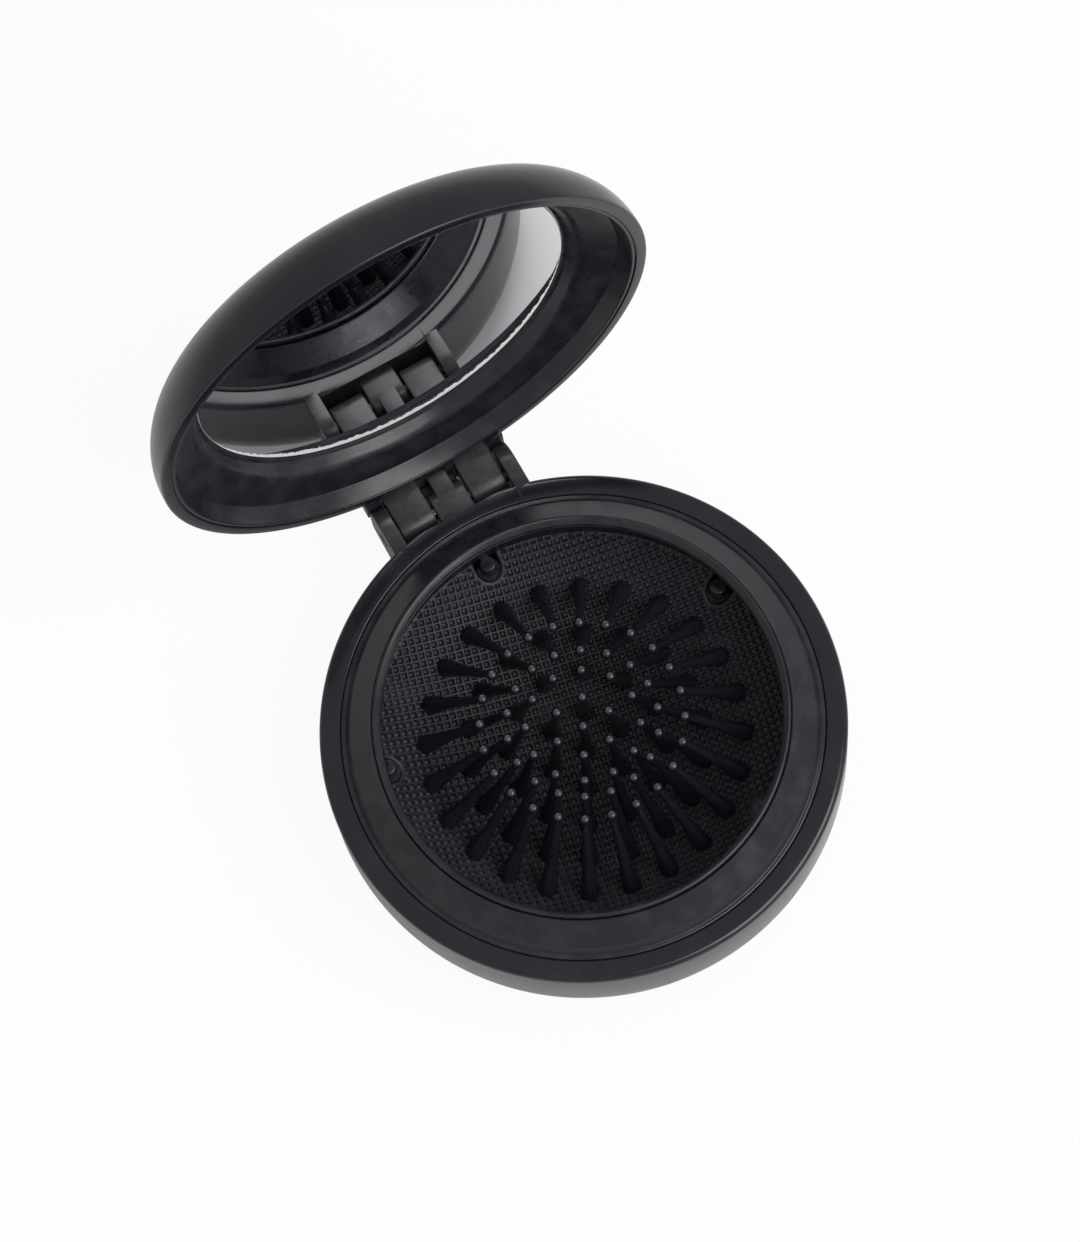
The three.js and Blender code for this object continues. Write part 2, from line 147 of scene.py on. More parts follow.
def tidy(piece):
    """Joins doubled points, turns the faces outwards and sets the creases."""
    work = bmesh.new()
    work.from_mesh(piece.data)
    bmesh.ops.remove_doubles(work, verts=work.verts, dist=WELD * MM)
    bmesh.ops.dissolve_degenerate(work, edges=work.edges, dist=SLIVER * MM)
    bmesh.ops.recalc_face_normals(work, faces=work.faces)
    work.to_mesh(piece.data)
    work.free()
    piece.data.shade_smooth()
    piece.data.set_sharp_from_angle(angle=CREASE)


def move_mesh(piece, place):
    """Moves the points of a mesh by a matrix in millimetres. The object itself stays."""
    piece.data.transform(SHRINK @ place @ SHRINK.inverted())


# %% Swing an outline round the Z axis
ROUND_STEPS = 192


def turned(name, outline, steps=ROUND_STEPS, place=Matrix()):
    """A body of revolution. The outline is a closed list of (radius, height) in millimetres."""
    count = len(outline)
    pairs = [(j, (j + 1) % count) for j in range(count)]
    points = []
    faces = []
    for i in range(steps):
        angle = 2 * math.pi * i / steps
        points += [(r * math.cos(angle), r * math.sin(angle), z) for r, z in outline]
        here = i * count
        ahead = (i + 1) % steps * count
        faces += [(here + j, ahead + j, ahead + k, here + k) for j, k in pairs]
    return new_object(name, points, faces, place)


# %% Push an outline along the X axis
BEVEL_STEPS = 3


def plate(name, outline, low, high, edge, place=Matrix()):
    """A bar along X with a side outline of (y, z), and its long edges slightly rounded."""
    count = len(outline)
    points = [(low, y, z) for y, z in outline] + [(high, y, z) for y, z in outline]
    sides = [(i, (i + 1) % count, (i + 1) % count + count, i + count) for i in range(count)]
    ends = [tuple(range(count)), tuple(range(count, 2 * count))]
    piece = new_object(name, points, sides + ends)
    work = bmesh.new()
    work.from_mesh(piece.data)
    sharp = [e for e in work.edges if e.is_manifold and e.calc_face_angle() > CREASE]
    manner = {"segments": BEVEL_STEPS, "profile": 0.5, "affect": "EDGES", "clamp_overlap": True}
    bmesh.ops.bevel(work, geom=sharp, offset=edge * MM, **manner)
    work.to_mesh(piece.data)
    work.free()
    move_mesh(piece, place)
    tidy(piece)
    return piece


# %% Join and cut
def combine(body, tool, operation="UNION"):
    """Joins the tool to the body, or cuts it away, and deletes the tool."""
    modifier = body.modifiers.new(operation, "BOOLEAN")
    modifier.object = tool
    modifier.operation = operation
    modifier.solver = "EXACT"
    shown = body.evaluated_get(bpy.context.evaluated_depsgraph_get())
    made = bpy.data.meshes.new_from_object(shown)
    body.modifiers.clear()
    body.data = made
    bpy.data.objects.remove(tool)
    tidy(body)


# %% Hand a piece over to the frame
def stand_in(piece, body, node):
    """The piece rides on the body and is shown in place of the frame's node."""
    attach(piece, body)
    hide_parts(node)


# %% [markdown]
# ## The base shell
#
# The base is a moulded cup with a deep soft corner at the foot, a flat rim and a round hole in
# the floor for the push plate. At the back it carries its half of the hinge: two ears on the
# outside and a knuckle in the middle, with a small tongue that stops the lid when it is open.
# The cup is one swung outline. The hinge parts are side outlines pushed along X, with their long
# edges rounded first, because an edge is easiest to round before it meets anything else. Then
# Boolean joins make one shell of it, as it comes out of the mould.
#
# Some gaps come in two sizes. Parts that turn on each other have room to do so, and parts that
# only meet are drawn with a hair's breadth, because on a black case a wide gap shows as a line.

# %% Sizes of the case
seam = 0.3
fine_seam = 0.02
running = 0.3
fine_running = 0.04
rim_width = 3.1
rim_edge = 0.8
edge_round = 0.28
rim_inner = case_radius - rim_width
base_wall = 2.2
base_corner = 8.7
flange = 1.6
ledge_width = 1.4
ledge_depth = 1.3
guide_wall = 1.7
guide_rise = 1.2
plate_play = 0.5
guide_top = base_wall + guide_rise
plate_hole = plate_radius + plate_play

# %% The cup
def base_cup():
    inside = case_radius - base_wall
    seat = base_height - flange - seam
    ledge = rim_inner - ledge_width
    return turned(
        "base_shell_fine",
        rounded([
            (plate_hole, 0, 0.4),
            (case_radius, 0, base_corner),
            (case_radius, base_height, rim_edge),
            (rim_inner, base_height, edge_round),
            (rim_inner, seat, 0),
            (ledge, seat, 0.1),
            (ledge, seat - ledge_depth, 0),
            (inside, seat - ledge_depth - (inside - ledge), 0),
            (inside, base_wall, base_corner - base_wall),
            (plate_hole + guide_wall, base_wall, 0.4),
            (plate_hole + guide_wall, guide_top, 0.3),
            (plate_hole, guide_top, 0.3),
        ]),
    )


# %% Sizes of the hinge
knuckle_radius = 2.8
knuckle_half = 2.75
arm_width = 5.55
ear_width = 2.2
arm_inner = knuckle_half + running
arm_outer = arm_inner + arm_width
slot_half = arm_outer + running
ear_outer = slot_half + ear_width
pin_radius = 0.9
pin_play = 0.24
hinge_bore = pin_radius + pin_play
hinge_rise = base_height - hinge.z + seam
slot_front = hinge.y - knuckle_radius - 1.3 * running
heel = hinge.y - slot_front - running
slot_bottom = hinge.z - math.hypot(heel, knuckle_radius) - 2 * running
ear_radius = hinge_rise - fine_running
web_reach = hinge_rise - 2.5 * fine_running
tongue_half = 1.45
tongue_thickness = 1.4
slot_edge = 0.01
ear_edge = 0.12
knuckle_edge = 0.25
tongue_edge = 0.2


# %% Round bars along the hinge line
BAR_STEPS = 64


def hinge_bar(name, radius, half, y, z, edge=0.0, place=Matrix()):
    """A bar along X, as a body of revolution laid on its side."""
    outline = rounded([(0, -half, 0), (radius, -half, edge), (radius, half, edge), (0, half, 0)])
    lay = Matrix.Translation((0, y, z)) @ Matrix.Rotation(math.pi / 2, 4, "Y")
    return turned(name, outline, BAR_STEPS, place @ lay)


# %% The slot for the hinge, and the ears
def cut_slot(shell):
    slot = rounded([
        (slot_front, slot_bottom, 0.3),
        (2 * case_radius, slot_bottom, 0),
        (2 * case_radius, 2 * base_height, 0),
        (slot_front, 2 * base_height, 0),
    ])
    combine(shell, plate("slot", slot, -slot_half, slot_half, slot_edge), "DIFFERENCE")


def add_ears(shell, root):
    """Two ears, rounded about the hinge line. Their ends lean as the open lid does."""
    lean = math.tan(open_angle / 2)
    ear = rounded([
        (root, base_height, 0),
        (hinge.y + ear_radius * lean, hinge.z + ear_radius, ear_radius),
        (hinge.y + ear_radius / lean, hinge.z - ear_radius, edge_round),
        (root, slot_bottom - ear_radius / 2, 0),
    ])
    combine(shell, plate("ear_right", ear, slot_half, ear_outer, ear_edge))
    combine(shell, plate("ear_left", ear, -ear_outer, -slot_half, ear_edge))


# %% The knuckle, with its tongue and web
def add_knuckle(shell, root):
    top = hinge.z + knuckle_radius
    foot = hinge.z - knuckle_radius
    knuckle = rounded([
        (root, top, 0),
        (hinge.y + knuckle_radius, top, knuckle_radius),
        (hinge.y + knuckle_radius, foot, knuckle_radius),
        (root, foot, 0),
    ])
    combine(shell, plate("knuckle", knuckle, -knuckle_half, knuckle_half, knuckle_edge))
    tongue_end = hinge.y + hinge_rise - fine_running
    tongue = rounded([
        (hinge.y, top - tongue_thickness, 0.1),
        (tongue_end, top - tongue_thickness, 0.2),
        (tongue_end, top, 0.2),
        (hinge.y, top, 0.1),
    ])
    combine(shell, plate("tongue", tongue, -tongue_half, tongue_half, tongue_edge))
    web = rounded([
        (hinge.y, foot, 0.1),
        (hinge.y + web_reach, foot, 0.3),
        (hinge.y + web_reach, hinge.z, 0.3),
        (hinge.y, hinge.z, 0.1),
    ])
    combine(shell, plate("web", web, -knuckle_half, knuckle_half, tongue_edge))


# %% The shell with its half of the hinge
def base_shell():
    shell = base_cup()
    root = slot_front - base_wall / 2
    cut_slot(shell)
    add_ears(shell, root)
    add_knuckle(shell, root)
    hole = hinge_bar("hole", hinge_bore, 2 * ear_outer, hinge.y, hinge.z)
    combine(shell, hole, "DIFFERENCE")
    stand_in(shell, "base", "base_shell")
    return shell


base = base_shell()
print("base shell:", len(base.data.polygons), "faces")

# %% [markdown]
# ## The hinge pin
#
# A steel rod runs through ears, arms and knuckle. Only its two ends show, so it is a plain bar
# with slightly rounded edges.

# %% The hinge pin
pin_sunk_in = 0.1
pin_edge = 0.15
pin_half = ear_outer - pin_sunk_in
hinge_pin = hinge_bar("hinge_pin_fine", pin_radius, pin_half, hinge.y, hinge.z, pin_edge)
stand_in(hinge_pin, "base", "hinge_pin")
print("hinge pin:", round(2 * pin_half, 1), "mm long")

# %% [markdown]
# ## The collar and its trim ring
#
# Inside the rim a satin collar rises steeply to a shelf, and its inner wall goes down again and
# holds the edge of the pad. Five posts under the shelf take the screws from below. A narrow trim
# ring lies on the shelf and hides the joint. Both are swung outlines. What makes them read as
# moulded plastic is the step at the foot of the flank and the fine line between the pieces, so
# these are in the outline and not painted on.

# %% Sizes of the collar
collar_rise = 4.35
collar_skirt = 2.6
step_width = 0.65
foot_width = 0.75
foot_rise = 1.1
crest_width = 0.55
crest_drop = 0.75
shelf_thickness = 0.75
trim_reach = 6.05
trim_width = 1.1
trim_height = 1.0
trim_rise = 0.3
trim_slope = 0.6
trim_inner = rim_inner - trim_reach
bore = trim_inner + trim_width + 0.1
skirt_outer = rim_inner - ledge_width - seam
skirt_bottom = base_height - collar_skirt
trim_top = base_height + collar_rise + trim_rise
shelf_top = trim_top - trim_height - seam
shelf_under = shelf_top - shelf_thickness
pad_top = skirt_bottom - seam

# %% Sizes of the screw posts
boss_circle = trim_inner + 0.05
boss_radius = 1.2
boss_rise = 0.45
boss_drop = 1.2
boss_steps = 48
rib_half = 0.6
rib_overlap = 0.4
rib_edge = 0.15
screw_count = 5


def screw_angles():
    """The directions of the screws, the first one towards the hinge."""
    return [math.pi / 2 + 2 * math.pi * i / screw_count for i in range(screw_count)]


# %% The collar's ring
def collar_ring():
    foot = rim_inner - fine_seam
    crest = trim_inner + trim_width + fine_seam
    flank_top = base_height + collar_rise
    return turned(
        "base_collar_fine",
        rounded([
            (bore, skirt_bottom, 0.15),
            (skirt_outer, skirt_bottom, 0.15),
            (skirt_outer, base_height - flange, 0),
            (foot, base_height - flange, 0.1),
            (foot, base_height, edge_round),
            (foot - step_width, base_height, 0.2),
            (foot - step_width - foot_width, base_height + foot_rise, 0.3),
            (crest + crest_width, flank_top - crest_drop, 0.4),
            (crest, flank_top, edge_round),
            (crest, shelf_top, 0),
            (trim_inner, shelf_top, 0.1),
            (trim_inner, shelf_under, 0.2),
            (bore, shelf_under, 0.2),
        ]),
    )


# %% The collar with its posts
def base_collar():
    collar = collar_ring()
    low = pad_top - boss_drop
    high = skirt_bottom + boss_rise
    wall = bore + rib_overlap
    boss = rounded([(0, low, 0), (boss_radius, low, 0.2), (boss_radius, high, 0.25), (0, high, 0)])
    rib = rounded([
        (boss_circle, low, 0.1),
        (wall, low, 0.1),
        (wall, high, 0.1),
        (boss_circle, high, 0.1),
    ])
    for angle in screw_angles():
        turn = Matrix.Rotation(angle - math.pi / 2, 4, "Z")
        out = turn @ Matrix.Translation((0, boss_circle, 0))
        combine(collar, turned("boss", boss, boss_steps, out))
        combine(collar, plate("rib", rib, -rib_half, rib_half, rib_edge, turn))
    stand_in(collar, "base", "base_collar")
    return collar


collar = base_collar()
print("collar:", len(collar.data.polygons), "faces")

# %% The trim ring
def trim_ring():
    outer = trim_inner + trim_width
    ring = turned(
        "trim_ring_fine",
        rounded([
            (trim_inner, trim_top - trim_height, 0.1),
            (outer, trim_top - trim_height, 0.1),
            (outer, trim_top, edge_round),
            (outer - trim_width / 3, trim_top, 0.15),
            (trim_inner, trim_top - trim_slope, 0.25),
        ]),
    )
    stand_in(ring, "base", "trim_ring")
    return ring


trim = trim_ring()
print("trim ring:", round(2 * trim_inner, 1), "mm inside")

# %% [markdown]
# ## The rubber pad
#
# The pad is one soft moulding, lying in the base as a bowl. Its surface is a waffle: thin raised
# lines in a square grid, and in each cell a recess with a small raised middle. A bump map would
# fake that, but the cells are over a millimetre wide and the camera is close, so they are real
# geometry. The grid is drawn flat, as on the mould, and laid into the bowl so that distances
# from the middle are kept along the rubber. That is why the cells stay square near the middle and
# lean and crowd towards the far wall, as they do on the real thing.
#
# NumPy does it in one pass: a flat grid, the height of the waffle at each point, and the bowl
# under it. The grid's lines aren't evenly spaced. Each cell has just the six that its shape needs:
# the two edges of the raised line, the bottoms of the grooves and the two edges of the bump.
# Points past the edge, or inside one of the five notches for the screw posts, are drawn back to
# the outline, which leaves smooth edges without any cutting.
#

# %% The bowl
pad_thickness = 1.2
pad_flange = 1.6
pad_bottom = plate_top + seam + pad_thickness
pad_outer = bore + pad_flange
bowl_depth = pad_top - pad_bottom
bowl_power = 2.4
TABLE_SIZE = 2000


def bowl_height(r):
    return pad_bottom + bowl_depth * np.minimum(r / bore, 1) ** bowl_power


def bowl_slope(r):
    slope = bowl_power * bowl_depth / bore * (r / bore) ** (bowl_power - 1)
    return np.where(r < bore, slope, 0)


def laid_radius(length):
    """How far from the axis a point comes to lie whose distance along the rubber is given."""
    table = np.linspace(0, 2 * bore, TABLE_SIZE)
    middle = (table[1:] + table[:-1]) / 2
    along = np.cumsum(np.hypot(1, bowl_slope(middle)) * np.diff(table))
    return np.interp(length, np.concatenate([[0], along]), table)


# %% The waffle
cell = 1.21
line_edge = 0.09
groove = 0.21
bump_edge = 0.37
bump_sunk = 0.4
waffle_turn = math.radians(-11.3)
waffle_depth = 0.32


def grid_lines(reach):
    """Where the grid's lines lie along one side, out to this many cells both ways."""
    half = np.array([line_edge, groove, bump_edge])
    stations = np.concatenate([half, 1 - half[::-1]])
    return ((np.arange(-reach, reach)[:, None] + stations) * cell).ravel()


def waffle(u, v):
    """Height of the waffle on the flat grid, nought on the raised lines."""
    from_middle = np.maximum(np.abs(u / cell % 1 - 0.5), np.abs(v / cell % 1 - 0.5))
    edges = [0.5 - bump_edge, 0.5 - groove, 0.5 - line_edge]
    return np.interp(from_middle, edges, [-bump_sunk, -1, 0]) * waffle_depth


# %% The notches for the screw posts
notch_radius = 1.8
notch_land = 0.55
TINY = 1e-9


def from_notches(x, y):
    """Distance from the nearest notch's edge, negative inside it, and the way out of the notch."""
    best = np.full(x.shape, np.inf)
    out = np.zeros((2, *x.shape))
    for angle in screw_angles():
        ax = math.cos(angle)
        ay = math.sin(angle)
        along = np.maximum(x * ax + y * ay - boss_circle, 0)
        dx = x - (boss_circle + along) * ax
        dy = y - (boss_circle + along) * ay
        distance = np.hypot(dx, dy) + TINY
        nearer = distance - notch_radius < best
        best = np.where(nearer, distance - notch_radius, best)
        out = np.where(nearer, np.stack([dx, dy]) / distance, out)
    return best, out


# %% The pad's flat grid, drawn back to its outline
GRID_REACH = 1.35


def pad_grid():
    """Rows of x, y, radius, place u, v on the flat grid and room to a notch; and the quads."""
    line = grid_lines(int(GRID_REACH * bore / cell))
    u, v = (grid.ravel() for grid in np.meshgrid(line, line, indexing="ij"))
    r = laid_radius(np.hypot(u, v))
    angle = np.arctan2(v, u) + waffle_turn
    x = r * np.cos(angle)
    y = r * np.sin(angle)
    clear, out = from_notches(x, y)
    shown = (r < pad_outer) & (clear > 0)
    index = np.arange(line.size**2).reshape(line.size, line.size)
    quads = np.stack([index[:-1, :-1], index[1:, :-1], index[1:, 1:], index[:-1, 1:]], -1)
    quads = quads.reshape(-1, 4)
    quads = quads[shown[quads].any(axis=1)]
    x = x - np.minimum(clear, 0) * out[0]
    y = y - np.minimum(clear, 0) * out[1]
    r = np.hypot(x, y)
    drawn = np.minimum(1, pad_outer / np.maximum(r, TINY))
    used, quads = np.unique(quads, return_inverse=True)
    points = np.stack([x * drawn, y * drawn, r * drawn, u, v, clear])
    return points[:, used], quads.reshape(-1, 4)


# %% Lay the grid into the bowl
notch_fade = 0.2
rim_fade = 0.3
lip_round = 0.3


def pad_skins(x, y, r, u, v, clear):
    """The points of the rubber's upper and lower side."""
    tilt = np.arctan(bowl_slope(r))
    inwards = np.sin(tilt) / np.maximum(r, TINY)
    normal = np.stack([-inwards * x, -inwards * y, np.cos(tilt)], 1)
    surface = np.stack([x, y, bowl_height(r)], 1)
    off_notch = np.clip((clear - notch_land) / notch_fade, 0, 1)
    off_rim = np.clip((bore - r) / rim_fade, 0, 1)
    lip = np.clip(1 - np.maximum(clear, 0) / lip_round, 0, 1)
    height = waffle(u, v) * off_notch * off_rim - lip_round * (1 - np.sqrt(1 - lip**2))
    return surface + normal * height[:, None], surface - normal * pad_thickness


def pad_faces(quads, count):
    """The upper quads, the same turned over below, and walls along every open edge."""
    edges = np.concatenate([quads[:, [i, (i + 1) % 4]] for i in range(4)])
    keys = np.sort(edges, axis=1) @ [count, 1]
    first, uses = np.unique(keys, return_index=True, return_counts=True)[1:]
    rim = edges[first[uses == 1]]
    walls = np.stack([rim[:, 1], rim[:, 0], rim[:, 0] + count, rim[:, 1] + count], 1)
    return np.concatenate([quads, quads[:, ::-1] + count, walls])


# %% The pad's mesh
PAD_CREASE = math.radians(45)


def brush_pad():
    points, quads = pad_grid()
    top, under = pad_skins(*points)
    mesh = bpy.data.meshes.new("brush_pad_fine")
    mesh.from_pydata(np.concatenate([top, under]) * MM, [], pad_faces(quads, len(top)))
    mesh.shade_smooth()
    mesh.set_sharp_from_angle(angle=PAD_CREASE)
    return placed("brush_pad_fine", mesh)


pad = brush_pad()
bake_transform(pad)
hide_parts("brush_pad")
print("pad:", len(pad.data.vertices), "points, bowl", round(bowl_depth, 1), "mm deep")

# %% [markdown]
# ## The pins
#
# Sixty-one pins stand in five rings, one in the middle and six more in each ring outwards. Each
# is a thick foot, a stem that tapers and a ball that doesn't scratch. The rings lean inwards more
# and more, because each pin stands square on the rubber, and the rubber is a bowl. One outline is
# swung for all of them and set on its place by a matrix. The outer two rings turn as the bowl is
# pushed up, so each of their pins is an object of its own on its own body. The inner rings only
# rise with the plate, so they are one object.

# %% Sizes of the pins
pad_turn = math.radians(2.5)
pin_margin = 6.55
pin_field = bore - pin_margin
ring_leans = [0, 7, 16, 31, 43]
ring_step = 6
pin_length = 12.8
pin_seat = 0.4
pin_sunk = 0.9
foot_radius = 1.35
foot_height = 0.4
waist_radius = 0.62 * foot_radius
waist_height = 0.34 * pin_length
neck_radius = 0.5
ball_radius = 0.8
BALL_STEPS = 10


# %% The outline of a pin
def pin_outline():
    centre = pin_length - ball_radius
    neck_angle = -math.acos(neck_radius / ball_radius)
    ball = [
        (ball_radius * math.cos(a), centre + ball_radius * math.sin(a))
        for a in np.linspace(neck_angle, math.pi / 2, BALL_STEPS)[:-1]
    ]
    stem = rounded([
        (0, -pin_sunk, 0),
        (foot_radius, -pin_sunk, 0),
        (foot_radius, foot_height, 0.5),
        (waist_radius, waist_height, 4),
        (neck_radius, centre - 1.5 * ball_radius, 3),
        (neck_radius, centre - 0.7 * ball_radius, 0),
    ])
    return stem[:-1] + ball + [(0, pin_length)]


def pin_places(ring):
    """Where the pins of a ring stand: a matrix for each, with Z along the pin."""
    radius = pin_field * ring / (len(ring_leans) - 1)
    lean = math.radians(ring_leans[ring])
    count = ring_step * ring or 1
    for i in range(count):
        yield (
            Matrix.Rotation(pad_turn + 2 * math.pi * i / count, 4, "Z")
            @ Matrix.Translation((radius, 0, float(bowl_height(radius))))
            @ Matrix.Rotation(-lean, 4, "Y")
        )


# %% The loose pins
PIN_STEPS = 20
LOOSE_RINGS = {"middle_pin": 3, "outer_pin": 4}
raised = Matrix.Translation((0, 0, pin_seat))
pins = []
for name, ring in LOOSE_RINGS.items():
    for i, place in enumerate(pin_places(ring)):
        node = f"{name}_{i + 1:02d}"
        pin = turned(f"{node}_fine", pin_outline(), PIN_STEPS, place @ raised)
        stand_in(pin, node, node)
        pins.append(pin)
print("loose pins:", len(pins))

# %% The pins over the plate
inner_places = [place for ring in range(3) for place in pin_places(ring)]
inner_pins = turned("inner_pins_fine", pin_outline(), PIN_STEPS, inner_places[0])
work = bmesh.new()
work.from_mesh(inner_pins.data)
for place in inner_places[1:]:
    extra = turned("extra", pin_outline(), PIN_STEPS, place)
    work.from_mesh(extra.data)
    bpy.data.objects.remove(extra)
work.to_mesh(inner_pins.data)
work.free()
stand_in(inner_pins, "push", "brush_pad")
pins.append(inner_pins)
print("inner pins:", len(inner_places))

# %% [markdown]
# ## The push plate
#
# A disc fills the hole in the underside, flush with the foot, with a shallow groove to feel with
# the thumb. It is a swung outline too.

# %% The push plate
thumb_groove = 4.5
groove_depth = 0.5
groove_slope = 0.25
groove_width = 1.4


def push_plate():
    inner = plate_radius - thumb_groove
    outer = inner + groove_width
    disc = turned(
        "push_plate_fine",
        rounded([
            (0, 0, 0),
            (inner, 0, 0.2),
            (inner + groove_slope, groove_depth, 0.15),
            (outer - groove_slope, groove_depth, 0.15),
            (outer, 0, 0.2),
            (plate_radius, 0, 0.4),
            (plate_radius, plate_top, 0.4),
            (0, plate_top, 0),
        ]),
    )
    stand_in(disc, "push", "push_plate")
    return disc


plate_disc = push_plate()
print("push plate:", round(2 * plate_radius, 1), "mm across")

# %% [markdown]
# ## The lid
#
# The lid is a dome with a flat rim, as wide as the base. It is drawn closed, with its rim at
# height nought, and one matrix then swings it open on the hinge line, as the hand would do. The
# dome's outline is two arcs that meet without a kink: a wide one over the top and a tighter one
# round the side. Two arms reach down from a block on the rim and turn on the hinge pin, and
# between them the block is hollowed out for the tongue that stops the lid.

# %% Sizes of the lid
lid_corner = 10.2
lid_side = 0.9
lid_top = 13.7
lid_wall = 1.5
lid_rim_width = 1.8
lid_rim_inner = case_radius - lid_rim_width
block_height = 5.2
block_side = 0.62 * block_height
block_brow = 0.68 * block_height
block_round = 0.2 * block_height
brow_width = 0.9
block_end = hinge.y + heel
lug_end = hinge.y + 0.7
lug_half = ear_outer + 0.25
block_edge = 0.3
arm_root = 0.5
open_lid = (
    Matrix.Translation(hinge)
    @ Matrix.Rotation(-open_angle, 4, "X")
    @ Matrix.Translation((0, -hinge.y, hinge_rise))
)

# %% The dome's outline
ARC_POINTS = 20


def arc(middle, height, radius, angles):
    return [(middle + radius * math.cos(a), height + radius * math.sin(a)) for a in angles]


def dome(inset):
    """Points from the rim's side up over the dome to the axis, at a depth below its surface."""
    side = case_radius - lid_corner
    drop = lid_top - lid_corner
    low = (drop**2 - side**2 - lid_side**2) / (2 * (drop - lid_side))
    meet = math.atan2(lid_side - low, side)
    tight = arc(side, lid_side, lid_corner - inset, np.linspace(0, meet, ARC_POINTS))
    crown = np.linspace(meet, math.pi / 2, ARC_POINTS)
    wide = arc(0, low, lid_top - low - inset, crown[1:-1])
    return tight + wide + [(0, lid_top - inset)]


# %% The lid shell, as it is turned
def lid_dome():
    inner = [point for point in dome(lid_wall) if point[0] < lid_rim_inner]
    edge = rounded([
        (lid_rim_inner, inner[0][1], 0),
        (lid_rim_inner, 0, edge_round),
        (case_radius, 0, edge_round),
        (case_radius, lid_side, 0),
    ])
    return turned("lid_shell_fine", inner[::-1] + edge + dome(0)[1:], place=open_lid)


def block(end):
    """The side outline of the block that the arms reach down from."""
    root = lid_rim_inner + 0.2 * lid_rim_width
    return rounded([
        (root, 0, 0),
        (end, 0, 0.1),
        (end, block_side, block_round),
        (end - brow_width, block_brow, 0.4),
        (root, block_height, 0),
    ])


# %% The lid shell with its half of the hinge
def lid_shell():
    shell = lid_dome()
    below = -hinge_rise - knuckle_radius
    arm = rounded([
        (hinge.y - knuckle_radius, arm_root, 0),
        (hinge.y - knuckle_radius, below, knuckle_radius),
        (block_end, below, 0.3),
        (block_end, arm_root, 0),
    ])
    lug = plate("lug", block(lug_end), -lug_half, lug_half, ear_edge, open_lid)
    brow = plate("block", block(block_end), -arm_outer, arm_outer, block_edge, open_lid)
    combine(shell, lug)
    combine(shell, brow)
    sweep = math.hypot(hinge_rise - running, knuckle_radius) + running
    room_half = tongue_half + running
    room = hinge_bar("room", sweep, room_half, hinge.y, -hinge_rise, place=open_lid)
    combine(shell, room, "DIFFERENCE")
    combine(shell, plate("arm_right", arm, arm_inner, arm_outer, block_edge, open_lid))
    combine(shell, plate("arm_left", arm, -arm_outer, -arm_inner, block_edge, open_lid))
    hole = hinge_bar("hole", hinge_bore, 2 * ear_outer, hinge.y, -hinge_rise, place=open_lid)
    combine(shell, hole, "DIFFERENCE")
    stand_in(shell, "lid", "lid_shell")
    return shell


lid = lid_shell()
print("lid shell:", len(lid.data.polygons), "faces")

# %% [markdown]
# ## The liner and the mirror
#
# A satin liner snaps into the lid behind the rim, falls away in a soft slope and holds the round
# glass in a well. The mirror is a thin disc of glass, silvered at the back, with a ground edge
# and a pad of foam tape behind it. A glass that is taped in never lies quite level, and the
# reflection of the base shows by how much: this one leans by three degrees. The liner's well
# leans with it, and less and less up the slope, so that the rim stays true. Its outline is swung
# like the others first, and then each point that faces the mirror's side is moved.

# %% Sizes of the liner and the mirror
liner_width = 7.5
mirror_radius = lid_rim_inner - liner_width
mirror_depth = 7.5
mirror_lean = math.radians(-3)
mirror_gap = 0.12
mirror_arris = 0.2
glass = 0.3
tape = 0.3
tape_margin = 5.7
tape_radius = mirror_radius - tape_margin
liner_back = 10.0
lip_width = 0.5
lip_drop = 0.12
well_width = 0.5
well_drop = 0.5
slope_start = 1.4
slope_end = 1.3
slope_low = 0.66 * mirror_depth
slope_high = 0.38 * mirror_depth

# %% The liner
FACING_OUT = -0.01
liner_outer = lid_rim_inner - fine_seam
well = mirror_radius + mirror_gap


def liner_outline():
    seat = mirror_depth + glass + fine_seam
    pocket = seat + tape
    pocket_radius = tape_radius + mirror_gap
    back = [point for point in dome(lid_wall + fine_running) if well < point[0] < liner_outer]
    front = rounded([
        (0, pocket, 0),
        (pocket_radius, pocket, 0),
        (pocket_radius, seat, 0.1),
        (well, seat, 0.1),
        (well, mirror_depth - 0.1, 0.1),
        (well + well_width, mirror_depth - well_drop, 0.3),
        (well + slope_start, slope_low, 3),
        (liner_outer - slope_end, slope_high, 0.3),
        (liner_outer - lip_width, lip_drop, 0.2),
        (liner_outer, lip_drop, 0.1),
        (liner_outer, back[0][1], 0),
    ])
    return front + back + [(tape_radius, liner_back), (0, liner_back)]


def lid_liner():
    liner = turned("lid_liner_fine", liner_outline())
    for point in liner.data.vertices:
        if point.normal.z < FACING_OUT:
            share = min(1, (liner_outer - point.co.xy.length / MM) / (liner_outer - well))
            point.co.z += share * point.co.y * math.tan(mirror_lean)
    move_mesh(liner, open_lid)
    stand_in(liner, "lid", "lid_liner")
    return liner


liner = lid_liner()
print("liner:", len(liner.data.polygons), "faces")

# %% The mirror and its tape
on_mirror = (
    open_lid @ Matrix.Translation((0, 0, mirror_depth)) @ Matrix.Rotation(mirror_lean, 4, "X")
)


def on_mirror_disc(node, outline):
    """A disc in the mirror's own place, which stands for this node of the lid."""
    disc = turned(f"{node}_fine", outline, place=on_mirror)
    stand_in(disc, "lid", node)
    return disc


